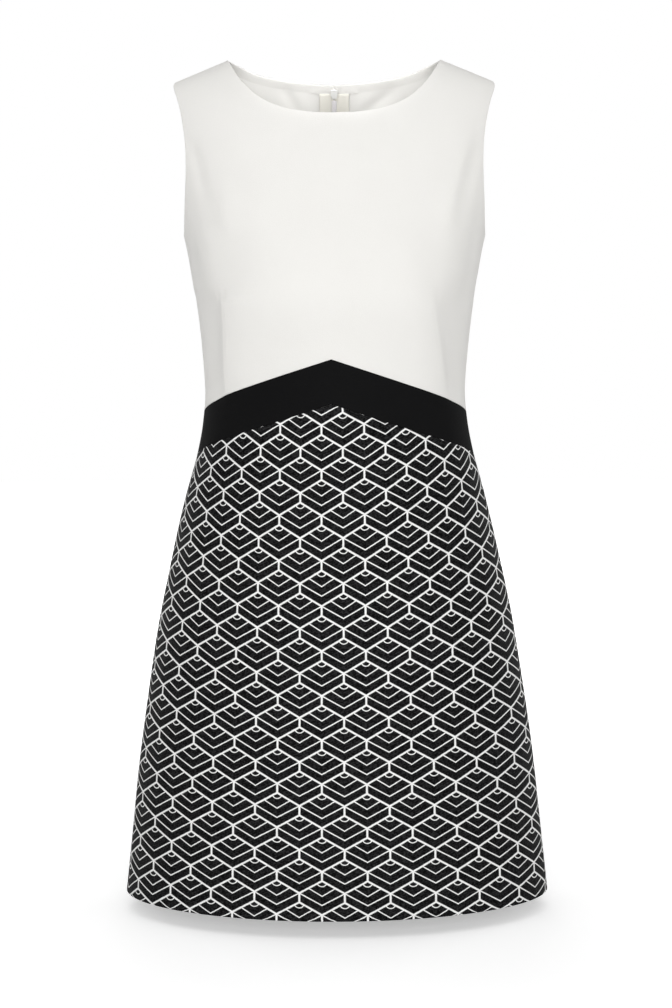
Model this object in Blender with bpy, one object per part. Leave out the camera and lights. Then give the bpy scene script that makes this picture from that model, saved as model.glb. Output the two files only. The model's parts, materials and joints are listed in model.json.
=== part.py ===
"""Sleeveless A-line shift dress with a chevron waistband and a concealed centre-back zip.

Metres, +Z up, the front faces -Y. The dress keeps the hollow form that it has when worn. The
origin lies midway between the two points where the shoulder seams meet the neckline, which is
where a wearer's shoulders carry it. Left and right are the wearer's, so left is +X.

Every cloth piece is a wall between two lofted skins. All of them follow one surface, cloth(), so
that neighbours meet edge to edge with a seam's gap between them.
"""

import math
from collections import namedtuple

import bmesh
import bpy
from mathutils import Matrix, Vector

COLLECTION = "shift_dress"
FRONT = -1
BACK = 1
LEFT = 1
RIGHT = -1
MM = 0.001

# Cloth, in metres
WALL = 0.0015
SEAM = 0.0003
BAND_HEIGHT = 0.043
HEM_Z = -0.831
UNDERARM_Z = -0.173

# Neck and shoulders
NECK_HALF_WIDTH = 0.105
SHOULDER_HALF_WIDTH = 0.1574
SHOULDER_DROP = 0.0215
FRONT_ROLL = 0.090
BACK_ROLL = 0.080
TIP_ROLL = 0.052
ROLL_POWER = 4

# Chevron waistband: its top edge falls in a straight line from centre front to the side seam
BAND_PEAK_Z = -0.2936
BAND_SIDE_Z = -0.347

# Fullness over the bust, which the waist darts shape
BUST_SIDE = 0.084
BUST_Z = -0.208
BUST_FULLNESS = 0.005
BUST_SPREAD = (0.042, 0.048)

# The back edges part a little at the top of the zip, around its slider
ZIP_NOTCH_Z = -0.050
ZIP_NOTCH_HALF_WIDTH = 0.0015
ZIP_END_ROW = 8
TAPE_INNER_X = 0.0012
TAPE_OUTER_X = 0.0150
TAPE_WALL = 0.0010

# Slider and pull tab
SLIDER_Z = -0.0270
SLIDER_GAP = 0.0007
SLIDER_SIZE = (0.0070, 0.0026, 0.0095)
SLIDER_ROUNDING = 0.0007
SLIDER_NECK = (0.0012, 0.0040)
NECK_REACH = 0.0009
BAIL_LIFT = 0.0007
BAIL_RADIUS = 0.0016
BAIL_WIRE = 0.00055
TAB_LENGTH = 0.024
TAB_THICKNESS = 0.0012
TAB_EYE_HALF_WIDTH = 0.0023
TAB_END_HALF_WIDTH = 0.0030
TAB_CORNER = 0.0007
TAB_HOLE = (0.0012, 0.0026)

# Grid of the cloth: cells to each side of centre front or centre back, and rows of cells
NECK_CELLS = 6
SHOULDER_CELLS = 6
BODICE_ROWS = 7
YOKE_ROWS = 10
BAND_ROWS = 2
SKIRT_ROWS = 14

# How finely curved lengths are measured, how often an edge is solved for, and the steps across
# and along the cloth between the points that give its slope
LENGTH_STEPS = 40
EDGE_ROUNDS = 30
SLOPE_STEP_Q = 0.004
SLOPE_STEP_Z = 0.0004
SHARP_ANGLE = 50

# The dress level by level, in millimetres: height, half width at the side seam, depth at centre
# front, depth at centre back, and how much fuller than an ellipse the ring is between them.
# Above the underarm the half width is where the side would be if there were no armhole.
Ring = namedtuple("Ring", "z half_width front back fullness")
RINGS = [
    Ring(0, 172.0, 60, 38, 0.20),
    Ring(-25, 171.0, 63, 50, 0.20),
    Ring(-60, 169.0, 69, 66, 0.20),
    Ring(-106, 164.0, 82, 83, 0.20),
    Ring(-150, 155.2, 94, 94, 0.20),
    Ring(-173, 149.5, 100, 97, 0.20),
    Ring(-200, 144.0, 106, 98, 0.20),
    Ring(-236, 138.4, 110, 96, 0.20),
    Ring(-284, 132.8, 103, 90, 0.18),
    Ring(-332, 129.8, 97, 86, 0.15),
    Ring(-356, 131.9, 98, 88, 0.12),
    Ring(-386, 137.4, 101, 93, 0.08),
    Ring(-431, 149.8, 109, 104, 0.00),
    Ring(-492, 164.4, 117, 117, -0.05),
    Ring(-568, 179.8, 123, 123, -0.05),
    Ring(-690, 197.8, 131, 128, -0.05),
    Ring(-831, 213.2, 141, 135, -0.05),
]

# Armhole edges, in millimetres: height, and how far out the edge lies on the front and the back
Armhole = namedtuple("Armhole", "z front back")
ARMHOLE = [
    Armhole(0, 157.4, 157.4),
    Armhole(-21, 157.4, 157.4),
    Armhole(-25, 158.6, 158.6),
    Armhole(-30, 157.6, 157.8),
    Armhole(-39, 154.4, 155.8),
    Armhole(-59, 149.5, 152.2),
    Armhole(-82, 146.4, 149.6),
    Armhole(-106, 145.5, 148.5),
    Armhole(-141, 146.8, 148.8),
    Armhole(-165, 148.2, 148.9),
    Armhole(-173, 149.5, 149.5),
]

# Necklines seen from the front, in millimetres: distance from the centre, and the height of the
# front and the back neck edge there
Neck = namedtuple("Neck", "x front back")
NECKLINE = [
    Neck(0, -56.0, -20.6),
    Neck(20, -55.4, -19.3),
    Neck(38.5, -53.2, -17.7),
    Neck(61, -46.3, -14.6),
    Neck(76.6, -36.8, -11.2),
    Neck(92.2, -20.6, -5.3),
    Neck(105, 0.0, 0.0),
]


def curve_through(places, values):
    """A smooth curve through points given in millimetres, without overshoot, in metres."""
    pairs = sorted(zip(places, values))
    xs = [x * MM for x, _ in pairs]
    ys = [y * MM for _, y in pairs]
    slopes = [(ys[i + 1] - ys[i]) / (xs[i + 1] - xs[i]) for i in range(len(xs) - 1)]
    tangents = [slopes[0]]
    for before, after in zip(slopes, slopes[1:]):
        together = before * after > 0
        tangents.append(2 * before * after / (before + after) if together else 0.0)
    tangents.append(slopes[-1])

    def value(x):
        x = min(max(x, xs[0]), xs[-1])
        i = 0
        while i < len(xs) - 2 and x > xs[i + 1]:
            i += 1
        step = xs[i + 1] - xs[i]
        t = (x - xs[i]) / step
        start = (1 + 2 * t) * (1 - t) ** 2 * ys[i] + t * (1 - t) ** 2 * step * tangents[i]
        end = t * t * (3 - 2 * t) * ys[i + 1] + t * t * (t - 1) * step * tangents[i + 1]
        return start + end

    return value


RING_HEIGHTS = [ring.z for ring in RINGS]
half_width = curve_through(RING_HEIGHTS, [ring.half_width for ring in RINGS])
depth = {
    FRONT: curve_through(RING_HEIGHTS, [ring.front for ring in RINGS]),
    BACK: curve_through(RING_HEIGHTS, [ring.back for ring in RINGS]),
}
fullness_mm = curve_through(RING_HEIGHTS, [ring.fullness for ring in RINGS])
armhole = {
    FRONT: curve_through([a.z for a in ARMHOLE], [a.front for a in ARMHOLE]),
    BACK: curve_through([a.z for a in ARMHOLE], [a.back for a in ARMHOLE]),
}
neckline = {
    FRONT: curve_through([n.x for n in NECKLINE], [n.front for n in NECKLINE]),
    BACK: curve_through([n.x for n in NECKLINE], [n.back for n in NECKLINE]),
}


def shoulder_height(x):
    """Height of the shoulder seam at x. Its line is carried on over the neck."""
    return (NECK_HALF_WIDTH - abs(x)) * SHOULDER_DROP / (SHOULDER_HALF_WIDTH - NECK_HALF_WIDTH)


def shoulder_roll(face, x, z):
    """Share of the full depth at (x, z), which falls to nothing at the shoulder seam."""
    reach = BACK_ROLL if face == BACK else FRONT_ROLL
    outward = min(max(abs(x) / SHOULDER_HALF_WIDTH, 0.0), 1.0) ** ROLL_POWER
    reach += (TIP_ROLL - reach) * outward
    below = min(max((shoulder_height(x) - z) / reach, 0.0), 1.0)
    return math.sqrt(1 - (1 - below) ** 2)


def bust(x, z):
    across = (abs(x) - BUST_SIDE) / BUST_SPREAD[0]
    down = (z - BUST_Z) / BUST_SPREAD[1]
    return BUST_FULLNESS * math.exp(-(across**2 + down**2))


def side_edge(face, z):
    """Distance from the centre to the side seam or, above the underarm, to the armhole."""
    return half_width(z) if z <= UNDERARM_Z else armhole[face](z)


def centre_edge(face, z):
    """Half the gap between the back pieces, which opens out around the zip's slider."""
    if face == FRONT:
        return 0.0
    opening = (z - ZIP_NOTCH_Z) / (neckline[BACK](0) - ZIP_NOTCH_Z)
    return SEAM / 2 + (ZIP_NOTCH_HALF_WIDTH - SEAM / 2) * min(max(opening, 0.0), 1.0)


def cloth(face, q, z):
    """Outer point of the cloth at height z. q is 0 at the centre, 1 at the left side seam and
    -1 at the right one."""
    inner = centre_edge(face, z)
    x = inner + (side_edge(face, z) - inner) * math.sin(abs(q) * math.pi / 2)
    share = min(x / half_width(z), 1.0)
    round_off = math.sqrt(1 - share * share)
    fullness = fullness_mm(z) / MM
    out = depth[face](z) * round_off * (1 + fullness * (1 - round_off))
    if face == FRONT:
        out += bust(x, z) * round_off
    y = face * (SEAM / 2 + out * shoulder_roll(face, x, z))
    return Vector((math.copysign(x, q), y, z))


def cloth_normal(face, q, z):
    """Outward normal of the cloth, kept in the seam's plane along a centre or a side seam."""
    inward = q - math.copysign(SLOPE_STEP_Q, q)
    across = cloth(face, q, z) - cloth(face, inward, z)
    up = cloth(face, q, z + SLOPE_STEP_Z) - cloth(face, q, z - SLOPE_STEP_Z)
    normal = across.cross(up)
    point = cloth(face, q, z)
    if abs(q) < 1e-6:
        normal.x = 0.0
    on_side_seam = abs(q) > 1 - 1e-6 and z <= UNDERARM_Z + 1e-6
    if on_side_seam or shoulder_height(point.x) - z < 1e-5:
        normal.y = 0.0
    outside = Vector((point.x, point.y, max(z + 0.1, 0.0)))
    return normal.normalized() * math.copysign(1.0, normal.dot(outside))


def waist_share(q):
    """Length of cloth from centre front to q, as a share of that to the side seam."""

    def length(end):
        shares = [end * i / LENGTH_STEPS for i in range(LENGTH_STEPS + 1)]
        points = [cloth(FRONT, share, BAND_SIDE_Z) for share in shares]
        return sum((b - a).length for a, b in zip(points, points[1:]))

    return length(abs(q)) / length(1.0)


def band_top(face, q):
    if face == BACK:
        return BAND_SIDE_Z
    return BAND_PEAK_Z + (BAND_SIDE_Z - BAND_PEAK_Z) * waist_share(q)


def band_bottom(face, q):
    return band_top(face, q) - BAND_HEIGHT


def top_edge(face, q):
    """Height of the neckline or the shoulder seam where column q meets it."""
    z = shoulder_height(SHOULDER_HALF_WIDTH)
    for _ in range(EDGE_ROUNDS):
        x = abs(cloth(face, q, min(z, 0.0)).x)
        on_neck = x < NECK_HALF_WIDTH
        z = neckline[face](x) if on_neck else shoulder_height(x)
    return z


def column_places():
    """Columns from the centre to the side, one of them at the neck end of the shoulder seam."""
    neck_q = math.asin(NECK_HALF_WIDTH / SHOULDER_HALF_WIDTH) / (math.pi / 2)
    to_neck = [neck_q * i / NECK_CELLS for i in range(NECK_CELLS)]
    to_side = [
        neck_q + (1 - neck_q) * i / SHOULDER_CELLS for i in range(SHOULDER_CELLS + 1)
    ]
    return to_neck + to_side


def panel_columns(side):
    """Columns of a piece: both halves of a front with side 0, or one half of the back."""
    half = column_places()
    if side:
        return [side * q for q in half]
    return [-q for q in reversed(half[1:])] + half


def even_rows(bottom, top, rows):
    return [bottom + (top - bottom) * i / rows for i in range(rows + 1)]


def closing_rows(bottom, top, rows):
    """Rows that close up towards both ends, where an armhole and a shoulder turn fastest."""
    steps = [(1 - math.cos(math.pi * i / rows)) / 2 for i in range(rows + 1)]
    return [bottom + (top - bottom) * step for step in steps]


def bodice_heights(face, q):
    lower = even_rows(band_top(face, q) + SEAM / 2, UNDERARM_Z, BODICE_ROWS)
    return lower + closing_rows(UNDERARM_Z, top_edge(face, q), YOKE_ROWS)[1:]


def band_heights(face, q):
    return even_rows(band_bottom(face, q) + SEAM / 2, band_top(face, q) - SEAM / 2, BAND_ROWS)


def skirt_heights(face, q):
    return even_rows(HEM_Z, band_bottom(face, q) - SEAM / 2, SKIRT_ROWS)


def wall_mesh(name, outer, inner):
    """A closed wall between two grids of points with the same rows and columns."""
    bm = bmesh.new()
    skins = [[[bm.verts.new(p) for p in row] for row in skin] for skin in (outer, inner)]
    rows = len(outer)
    columns = len(outer[0])
    for skin in skins:
        for i in range(rows - 1):
            for j in range(columns - 1):
                corners = (skin[i][j], skin[i][j + 1], skin[i + 1][j + 1], skin[i + 1][j])
                bm.faces.new(corners)
    edge = [(0, j) for j in range(columns - 1)]
    edge += [(i, columns - 1) for i in range(rows - 1)]
    edge += [(rows - 1, j) for j in range(columns - 1, 0, -1)]
    edge += [(i, 0) for i in range(rows - 1, 0, -1)]
    for (i, j), (k, m) in zip(edge, edge[1:] + edge[:1]):
        bm.faces.new((skins[0][i][j], skins[0][k][m], skins[1][k][m], skins[1][i][j]))
    bmesh.ops.recalc_face_normals(bm, faces=bm.faces)
    mesh = bpy.data.meshes.new(name)
    bm.to_mesh(mesh)
    bm.free()
    mesh.shade_smooth()
    mesh.set_sharp_from_angle(angle=math.radians(SHARP_ANGLE))
    return mesh


def material(name, colour, roughness, metallic=0.0):
    made = bpy.data.materials.new(name)
    made.use_nodes = True
    shader = made.node_tree.nodes["Principled BSDF"]
    shader.inputs["Base Color"].default_value = (*colour, 1.0)
    shader.inputs["Roughness"].default_value = roughness
    shader.inputs["Metallic"].default_value = metallic
    made.diffuse_color = (*colour, 1.0)
    return made


def add_object(collection, name, mesh, finish):
    mesh.materials.append(finish)
    made = bpy.data.objects.new(name, mesh)
    collection.objects.link(made)
    return made


def cloth_panel(collection, name, face, side, heights, finish):
    """A cut piece: its columns run up the dress, and heights() gives each column's rows."""
    columns = [(q, heights(face, q)) for q in panel_columns(side)]
    outer = []
    inner = []
    for i in range(len(columns[0][1])):
        outer.append([cloth(face, q, levels[i]) for q, levels in columns])
        normals = [cloth_normal(face, q, levels[i]) for q, levels in columns]
        inner.append([p - n * WALL for p, n in zip(outer[-1], normals)])
    return add_object(collection, name, wall_mesh(name, outer, inner), finish)


def tape_heights(q):
    """Rows of the back pieces that a tape lies on, from the zip's end to just below the neck."""
    skirt = skirt_heights(BACK, q)[ZIP_END_ROW:-1]
    return skirt + band_heights(BACK, q)[:-1] + bodice_heights(BACK, q)[:-1]


def zip_tape(collection, name, side, finish):
    """A tape along the centre-back seam, inside the first column of cells of the back pieces."""
    columns = [side * q for q in column_places()[:2]]
    outer = []
    inner = []
    for levels in zip(*[tape_heights(q) for q in columns]):
        points = [cloth(BACK, q, z) for q, z in zip(columns, levels)]
        points[0].x = side * abs(points[0].x)
        normals = [cloth_normal(BACK, q, z) for q, z in zip(columns, levels)]
        lining = [p - n * WALL for p, n in zip(points, normals)]
        width = abs(lining[1].x - lining[0].x)
        near = []
        far = []
        for x in (TAPE_INNER_X, TAPE_OUTER_X):
            share = (x - abs(lining[0].x)) / width
            point = lining[0].lerp(lining[1], share)
            normal = normals[0].lerp(normals[1], share).normalized()
            near.append(point - normal * SEAM)
            far.append(point - normal * (SEAM + TAPE_WALL))
        outer.append(near)
        inner.append(far)
    return add_object(collection, name, wall_mesh(name, outer, inner), finish)


def zip_frame():
    """Axes of the slider: across, out of the cloth and up along it, from the cloth's face."""
    point = cloth(BACK, 0.0, SLIDER_Z)
    point.x = 0.0
    out = cloth_normal(BACK, 0.0, SLIDER_Z)
    across = Vector((1.0, 0.0, 0.0))
    up = across.cross(out)
    turn = Matrix((across, out, up)).transposed().to_4x4()
    return Matrix.Translation(point) @ turn


def box_mesh(name, size, centre, rounding):
    bm = bmesh.new()
    bmesh.ops.create_cube(bm, size=1.0)
    bmesh.ops.scale(bm, vec=size, verts=bm.verts)
    if rounding:
        bmesh.ops.bevel(
            bm, geom=list(bm.edges), offset=rounding, segments=2, profile=0.5, affect="EDGES"
        )
    bmesh.ops.translate(bm, vec=centre, verts=bm.verts)
    mesh = bpy.data.meshes.new(name)
    bm.to_mesh(mesh)
    bm.free()
    return mesh


def bail_centre():
    """Centre of the bail's ring in the slider's axes. The pull tab turns about it."""
    return Vector((0.0, BAIL_LIFT + BAIL_RADIUS, 0.0))


def slider(collection, guides, finish):
    """Slider body inside the dress, a neck through the seam, and a ring for the pull tab."""
    place = zip_frame()
    back_of_body = -(WALL + SEAM + TAPE_WALL + SLIDER_GAP)
    size = Vector(SLIDER_SIZE)
    body_centre = Vector((0.0, back_of_body - size.y / 2, 0.0))
    body_mesh = box_mesh("zip_slider", size, body_centre, SLIDER_ROUNDING)
    body = add_object(collection, "zip_slider", body_mesh, finish)
    body.matrix_world = place
    neck_width, neck_height = SLIDER_NECK
    neck_start = back_of_body - size.y / 2
    neck_size = Vector((neck_width, NECK_REACH - neck_start, neck_height))
    neck_centre = Vector((0.0, (NECK_REACH + neck_start) / 2, 0.0))
    neck = bpy.data.objects.new("slider_neck", box_mesh("neck", neck_size, neck_centre, 0.0))
    bpy.ops.mesh.primitive_torus_add(
        major_radius=BAIL_RADIUS,
        minor_radius=BAIL_WIRE,
        major_segments=20,
        minor_segments=8,
    )
    ring = bpy.context.object
    ring.name = "slider_ring"
    for collected in list(ring.users_collection):
        collected.objects.unlink(ring)
    for guide in (neck, ring):
        guides.objects.link(guide)
        guide.hide_render = True
        guide.display_type = "WIRE"
    neck.matrix_world = place
    stand_up = Matrix.Rotation(math.pi / 2, 4, "Y")
    ring.matrix_world = place @ Matrix.Translation(bail_centre()) @ stand_up
    for guide in (neck, ring):
        join = body.modifiers.new(guide.name, "BOOLEAN")
        join.operation = "UNION"
        join.object = guide
    return body


def arc(centre, radius, start, end, steps):
    """Points along an arc in the XY plane, with angles in degrees."""
    turns = [math.radians(start + (end - start) * i / steps) for i in range(steps + 1)]
    return [(centre[0] + radius * math.cos(t), centre[1] + radius * math.sin(t)) for t in turns]


def pull_tab(collection, finish):
    """A flat drop-shaped tab, with an eye that the slider's ring passes through."""
    bar = TAB_THICKNESS / 2
    end = TAB_END_HALF_WIDTH
    eye = TAB_EYE_HALF_WIDTH
    corner = TAB_CORNER
    outline = arc((eye - corner, bar - corner), corner, 0, 90, 3)
    outline += arc((-eye + corner, bar - corner), corner, 90, 180, 3)
    outline += arc((0.0, -TAB_LENGTH + bar + end), end, 180, 360, 14)
    hole_half_width = TAB_HOLE[0]
    hole_end = -bar - TAB_HOLE[1]
    hole = [
        (hole_half_width, -bar),
        (-hole_half_width, -bar),
        (-hole_half_width, hole_end),
        (hole_half_width, hole_end),
    ]
    outline_curve = bpy.data.curves.new("zip_pull_tab", "CURVE")
    outline_curve.dimensions = "2D"
    outline_curve.fill_mode = "BOTH"
    outline_curve.extrude = TAB_THICKNESS / 2
    for loop in (outline, hole):
        spline = outline_curve.splines.new("POLY")
        spline.points.add(len(loop) - 1)
        for point, (x, y) in zip(spline.points, loop):
            point.co = (x, y, 0.0, 1.0)
        spline.use_cyclic_u = True
    flat = bpy.data.objects.new("tab_outline", outline_curve)
    collection.objects.link(flat)
    bpy.context.view_layer.update()
    evaluated = flat.evaluated_get(bpy.context.evaluated_depsgraph_get())
    mesh = bpy.data.meshes.new_from_object(evaluated)
    bpy.data.objects.remove(flat)
    bm = bmesh.new()
    bm.from_mesh(mesh)
    bmesh.ops.remove_doubles(bm, verts=bm.verts, dist=0.00001)
    bmesh.ops.recalc_face_normals(bm, faces=bm.faces)
    bm.to_mesh(mesh)
    bm.free()
    mesh.name = "zip_pull_tab"
    mesh.materials.clear()
    pivot = bpy.data.objects.new("pull_tab_pivot", None)
    collection.objects.link(pivot)
    pivot.matrix_world = zip_frame() @ Matrix.Translation(bail_centre())
    tab = add_object(collection, "zip_pull_tab", mesh, finish)
    tab.parent = pivot
    tab.rotation_euler = (math.pi / 2, 0.0, 0.0)
    return tab


def new_collection(name):
    made = bpy.data.collections.new(name)
    bpy.context.scene.collection.children.link(made)
    return made


def build():
    for old in list(bpy.data.objects):
        bpy.data.objects.remove(old, do_unlink=True)
    dress = new_collection(COLLECTION)
    guides = new_collection("guides")

    crepe = material("off_white_crepe", (0.86, 0.855, 0.83), 0.75)
    band = material("black_band", (0.012, 0.012, 0.013), 0.80)
    printed = material("printed_twill", (0.020, 0.020, 0.021), 0.70)
    tape = material("cream_zip_tape", (0.80, 0.76, 0.62), 0.85)
    enamel = material("white_enamel", (0.85, 0.85, 0.83), 0.35)

    pieces = [
        ("bodice", bodice_heights, crepe),
        ("waistband", band_heights, band),
        ("skirt", skirt_heights, printed),
    ]
    for piece, heights, finish in pieces:
        cloth_panel(dress, f"{piece}_front", FRONT, 0, heights, finish)
        cloth_panel(dress, f"{piece}_back_left", BACK, LEFT, heights, finish)
        cloth_panel(dress, f"{piece}_back_right", BACK, RIGHT, heights, finish)
    zip_tape(dress, "zip_tape_left", LEFT, tape)
    zip_tape(dress, "zip_tape_right", RIGHT, tape)
    slider(dress, guides, enamel)
    pull_tab(dress, enamel)


build()
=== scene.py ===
"""Looks of the shift dress: cloth with its turned edges, print, zip, floor, light and camera.

Metres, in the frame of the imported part: +Z up, the front faces -Y, left is the wearer's (+X).
Every cloth piece is a double-skinned mesh on the same surface as its solid. Its edges are turned
in, as the sewn dress's are, so that neighbours meet in a fine groove at each seam.
"""

import json
import math
from collections import namedtuple
from functools import partialmethod
from itertools import permutations

import bmesh
import bpy
import numpy as np
from mathutils import Matrix, Vector
from mathutils.bvhtree import BVHTree


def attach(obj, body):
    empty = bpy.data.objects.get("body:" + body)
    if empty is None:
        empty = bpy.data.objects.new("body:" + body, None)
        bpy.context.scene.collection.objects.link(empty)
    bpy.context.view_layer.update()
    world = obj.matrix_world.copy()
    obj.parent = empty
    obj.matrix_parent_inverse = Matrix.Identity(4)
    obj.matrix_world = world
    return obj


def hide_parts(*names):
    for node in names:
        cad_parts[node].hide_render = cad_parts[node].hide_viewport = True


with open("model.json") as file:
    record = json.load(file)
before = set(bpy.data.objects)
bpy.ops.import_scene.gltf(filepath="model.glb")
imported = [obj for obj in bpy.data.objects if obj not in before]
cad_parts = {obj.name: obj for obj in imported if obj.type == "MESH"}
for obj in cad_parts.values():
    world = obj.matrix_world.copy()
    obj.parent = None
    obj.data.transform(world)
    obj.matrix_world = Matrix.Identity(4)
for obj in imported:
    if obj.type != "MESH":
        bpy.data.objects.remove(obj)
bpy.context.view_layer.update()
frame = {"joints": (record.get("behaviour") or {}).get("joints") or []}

FRONT = -1
BACK = 1
LEFT = 1
RIGHT = -1
MM = 0.001

# ---------------------------------------------------------------- The dress, as in the part
WALL = 0.0015
SEAM = 0.0003
BAND_HEIGHT = 0.043
HEM_Z = -0.831
UNDERARM_Z = -0.173
NECK_HALF_WIDTH = 0.105
SHOULDER_HALF_WIDTH = 0.1574
SHOULDER_DROP = 0.0215
FRONT_ROLL = 0.090
BACK_ROLL = 0.080
TIP_ROLL = 0.052
BAND_PEAK_Z = -0.2931
BAND_PEAK_ASIDE = -0.0036
BAND_SAG_LEFT = 0.0090
BAND_SAG_RIGHT = 0.0035
BAND_SIDE_Z = -0.347
BUST_SIDE = 0.084
BUST_Z = -0.208
BUST_FULLNESS = 0.005
BUST_SPREAD = (0.042, 0.048)
ZIP_NOTCH_Z = -0.050
ZIP_NOTCH_HALF_WIDTH = 0.0015
ZIP_END_Z = -0.579
TAPE_OUTER_X = 0.0150
TAPE_WALL = 0.0010
TAPE_TOP_Z = -0.0280
SLIDER_Z = -0.0270
SLIDER_GAP = 0.0007
SLIDER_SIZE = (0.0070, 0.0026, 0.0095)
SLIDER_NECK = (0.0012, 0.0040)
BAIL_LIFT = 0.0007
BAIL_RADIUS = 0.0016
BAIL_WIRE = 0.00055
BAIL_STEPS = 40
BAIL_SIDES = 12
# The slider's plate: thickness and rounding as shares, and how much narrower its lower end is
PLATE_SHARE = 0.42
PLATE_ROUNDING = 0.42
PLATE_LOWER = 0.72
# Its flanges: thickness, how far they stand past the plate, height and place as shares
FLANGE = 0.0009
FLANGE_LIP = 0.0003
FLANGE_TALL = 0.62
FLANGE_RAISE = 0.12
# Its bridge: width, height, and place as a share of the slider's height
BRIDGE = (0.0016, 0.0024, 0.36)
NECK_TOP = 0.0009
CAP = (0.0030, 0.0009, 0.0056)
CAP_OUT = 0.0003
SLIDER_ROUNDING = 0.0003
CAP_ROUNDING = 0.00035
TAB_LENGTH = 0.024
TAB_THICKNESS = 0.0012
TAB_EYE_HALF_WIDTH = 0.0023
TAB_END_HALF_WIDTH = 0.0030
TAB_HOLE = (0.0012, 0.0026)
TAB_ROUNDING = 0.00028
TAB_CORNER = 0.0006
HOLE_CORNER = 0.0009

Ring = namedtuple("Ring", "z half_width front back fullness")
RINGS = [
    Ring(0, 172.0, 60, 38, 0.20),
    Ring(-25, 171.0, 63, 50, 0.20),
    Ring(-60, 169.0, 69, 66, 0.20),
    Ring(-106, 164.0, 82, 83, 0.20),
    Ring(-150, 155.2, 94, 94, 0.20),
    Ring(-173, 149.5, 100, 97, 0.20),
    Ring(-200, 144.0, 106, 98, 0.20),
    Ring(-236, 138.4, 110, 96, 0.20),
    Ring(-284, 132.8, 103, 90, 0.18),
    Ring(-332, 129.8, 97, 86, 0.15),
    Ring(-356, 131.9, 98, 88, 0.12),
    Ring(-386, 137.4, 101, 93, 0.08),
    Ring(-431, 149.8, 109, 104, 0.00),
    Ring(-492, 164.4, 117, 117, -0.05),
    Ring(-568, 179.8, 123, 123, -0.05),
    Ring(-690, 197.8, 131, 128, -0.05),
    Ring(-831, 213.2, 141, 135, -0.05),
]
Armhole = namedtuple("Armhole", "z front back")
ARMHOLE = [
    Armhole(0, 157.4, 157.4),
    Armhole(-21, 157.4, 157.4),
    Armhole(-25, 158.6, 158.6),
    Armhole(-30, 157.6, 157.8),
    Armhole(-39, 154.4, 155.8),
    Armhole(-59, 149.5, 152.2),
    Armhole(-82, 146.4, 149.6),
    Armhole(-106, 145.5, 148.5),
    Armhole(-141, 146.8, 148.8),
    Armhole(-165, 148.2, 148.9),
    Armhole(-173, 149.5, 149.5),
]
Neck = namedtuple("Neck", "x front back")
NECKLINE = [
    Neck(0, -56.0, -20.6),
    Neck(20, -55.4, -19.3),
    Neck(38.5, -53.2, -17.7),
    Neck(61, -46.3, -14.6),
    Neck(76.6, -36.8, -11.2),
    Neck(92.2, -20.6, -5.3),
    Neck(105, 0.0, 0.0),
]

# ---------------------------------------------------------------- Cloth and sewing
CLOTH = 0.0006
FOLD_RADIUS = 0.00065
FOLD_STEPS = 5
ALLOWANCE = 0.010
HEM_TURNING = 0.028
# The rings of a turning past its fold, and what is left of its thickness at a trimmed end
ALLOWANCE_SHARES = (0.3, 0.65, 1.0)
THIN_END = 0.08
PRESSED_GAP = 1.03 * CLOTH
# How far along an edge the pull of a mitred corner reaches
CORNER_REACH = 0.040
# How far the neck's turning stands off the cloth where it passes over the zip's tape
TAPE_LIFT = 0.0009
TAPE_LIFT_FADE = 0.006
TAPE_LIFT_Z = -0.024
GRID = 0.0026
FINE_GRID = 0.0009
GRID_SIZE = 0.150


def curve_through(places, values):
    """A smooth curve through points given in millimetres, without overshoot, in metres."""
    order = np.argsort(places)
    xs = np.array(places, float)[order] * MM
    ys = np.array(values, float)[order] * MM
    slopes = np.diff(ys) / np.diff(xs)
    before, after = slopes[:-1], slopes[1:]
    together = before * after > 0
    total = np.where(together, before + after, 1.0)
    inner = np.where(together, 2 * before * after / total, 0.0)
    tangents = np.concatenate([slopes[:1], inner, slopes[-1:]])

    def value(x):
        x = np.clip(x, xs[0], xs[-1])
        i = np.clip(np.searchsorted(xs, x) - 1, 0, len(xs) - 2)
        step = xs[i + 1] - xs[i]
        t = (x - xs[i]) / step
        start = (1 + 2 * t) * (1 - t) ** 2 * ys[i] + t * (1 - t) ** 2 * step * tangents[i]
        end = t * t * (3 - 2 * t) * ys[i + 1] + t * t * (t - 1) * step * tangents[i + 1]
        return start + end

    return value


def face_curves(places, fronts, backs):
    return {FRONT: curve_through(places, fronts), BACK: curve_through(places, backs)}


ring_z, ring_widths, ring_fronts, ring_backs, ring_fullness = zip(*RINGS)
half_width = curve_through(ring_z, ring_widths)
depth = face_curves(ring_z, ring_fronts, ring_backs)
fullness_mm = curve_through(ring_z, ring_fullness)
armhole = face_curves(*zip(*ARMHOLE))
neckline = face_curves(*zip(*NECKLINE))


def smooth(t):
    """Goes from 0 to 1 with level ends while t does."""
    t = np.clip(t, 0.0, 1.0)
    return t * t * (3 - 2 * t)


def shoulder_height(x):
    fall = SHOULDER_DROP / (SHOULDER_HALF_WIDTH - NECK_HALF_WIDTH)
    return (NECK_HALF_WIDTH - np.abs(x)) * fall


def roll_reach(face, x):
    reach = BACK_ROLL if face == BACK else FRONT_ROLL
    outward = np.clip(np.abs(x) / SHOULDER_HALF_WIDTH, 0.0, 1.0) ** 4
    return reach + (TIP_ROLL - reach) * outward


def full_depth(face, angle, z):
    """Depth of the cloth before it rolls over the shoulder."""
    round_off = np.cos(angle)
    out = depth[face](z) * round_off * (1 + fullness_mm(z) / MM * (1 - round_off))
    if face == FRONT:
        x = half_width(z) * np.sin(angle)
        across = (np.abs(x) - BUST_SIDE) / BUST_SPREAD[0]
        down = (z - BUST_Z) / BUST_SPREAD[1]
        out = out + BUST_FULLNESS * np.exp(-(across**2 + down**2)) * round_off
    return out


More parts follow.
